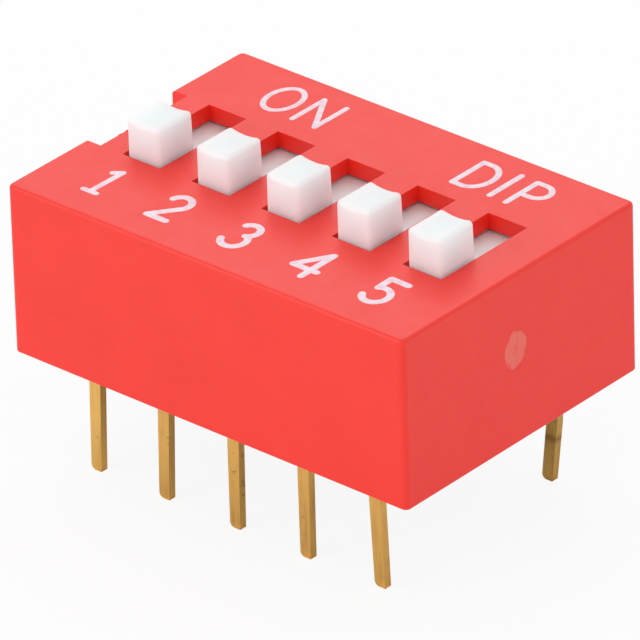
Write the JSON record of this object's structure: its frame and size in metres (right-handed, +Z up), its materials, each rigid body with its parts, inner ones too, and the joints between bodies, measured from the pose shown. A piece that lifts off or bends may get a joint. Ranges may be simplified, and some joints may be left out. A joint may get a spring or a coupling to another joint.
{
  "type": "dip switch",
  "caption": "Slide DIP switch: a red box housing with a row of raised white knobs in slots, and two rows of flat gold-plated pins for a circuit board.",
  "frame": {"origin": "below the middle of the body, in the plane of the pin tips", "axes": "+X along the numbered positions, from 1 to 5; +Y towards the ON side; +Z up, out of the knobs' side"},
  "size_m": [0.0142, 0.0098, 0.0101],
  "materials": {
    "cover": "satin",
    "base": "satin",
    "slider": "satin",
    "wiper": "gold-plated",
    "terminal": "gold-plated",
    "print": "ink"
  },
  "bodies": {
    "housing": {"cover": "cover", "base": "base", "terminal_front_1": "terminal", "terminal_front_2": "terminal", "terminal_front_3": "terminal", "terminal_front_4": "terminal", "terminal_front_5": "terminal", "terminal_back_1": "terminal", "terminal_back_2": "terminal", "terminal_back_3": "terminal", "terminal_back_4": "terminal", "terminal_back_5": "terminal"},
    "slide_1": {"slider_1": "slider", "wiper_1": "wiper"},
    "slide_2": {"slider_2": "slider", "wiper_2": "wiper"},
    "slide_3": {"slider_3": "slider", "wiper_3": "wiper"},
    "slide_4": {"slider_4": "slider", "wiper_4": "wiper"},
    "slide_5": {"slider_5": "slider", "wiper_5": "wiper"}
  },
  "joints": [
    {"name": "position_1", "type": "slide", "parent": "housing", "child": "slide_1", "axis": [0, 1, 0], "range_m": [0, 0.002]},
    {"name": "position_2", "type": "slide", "parent": "housing", "child": "slide_2", "axis": [0, 1, 0], "range_m": [0, 0.002]},
    {"name": "position_3", "type": "slide", "parent": "housing", "child": "slide_3", "axis": [0, 1, 0], "range_m": [0, 0.002]},
    {"name": "position_4", "type": "slide", "parent": "housing", "child": "slide_4", "axis": [0, 1, 0], "range_m": [0, 0.002]},
    {"name": "position_5", "type": "slide", "parent": "housing", "child": "slide_5", "axis": [0, 1, 0], "range_m": [0, 0.002]}
  ]
}
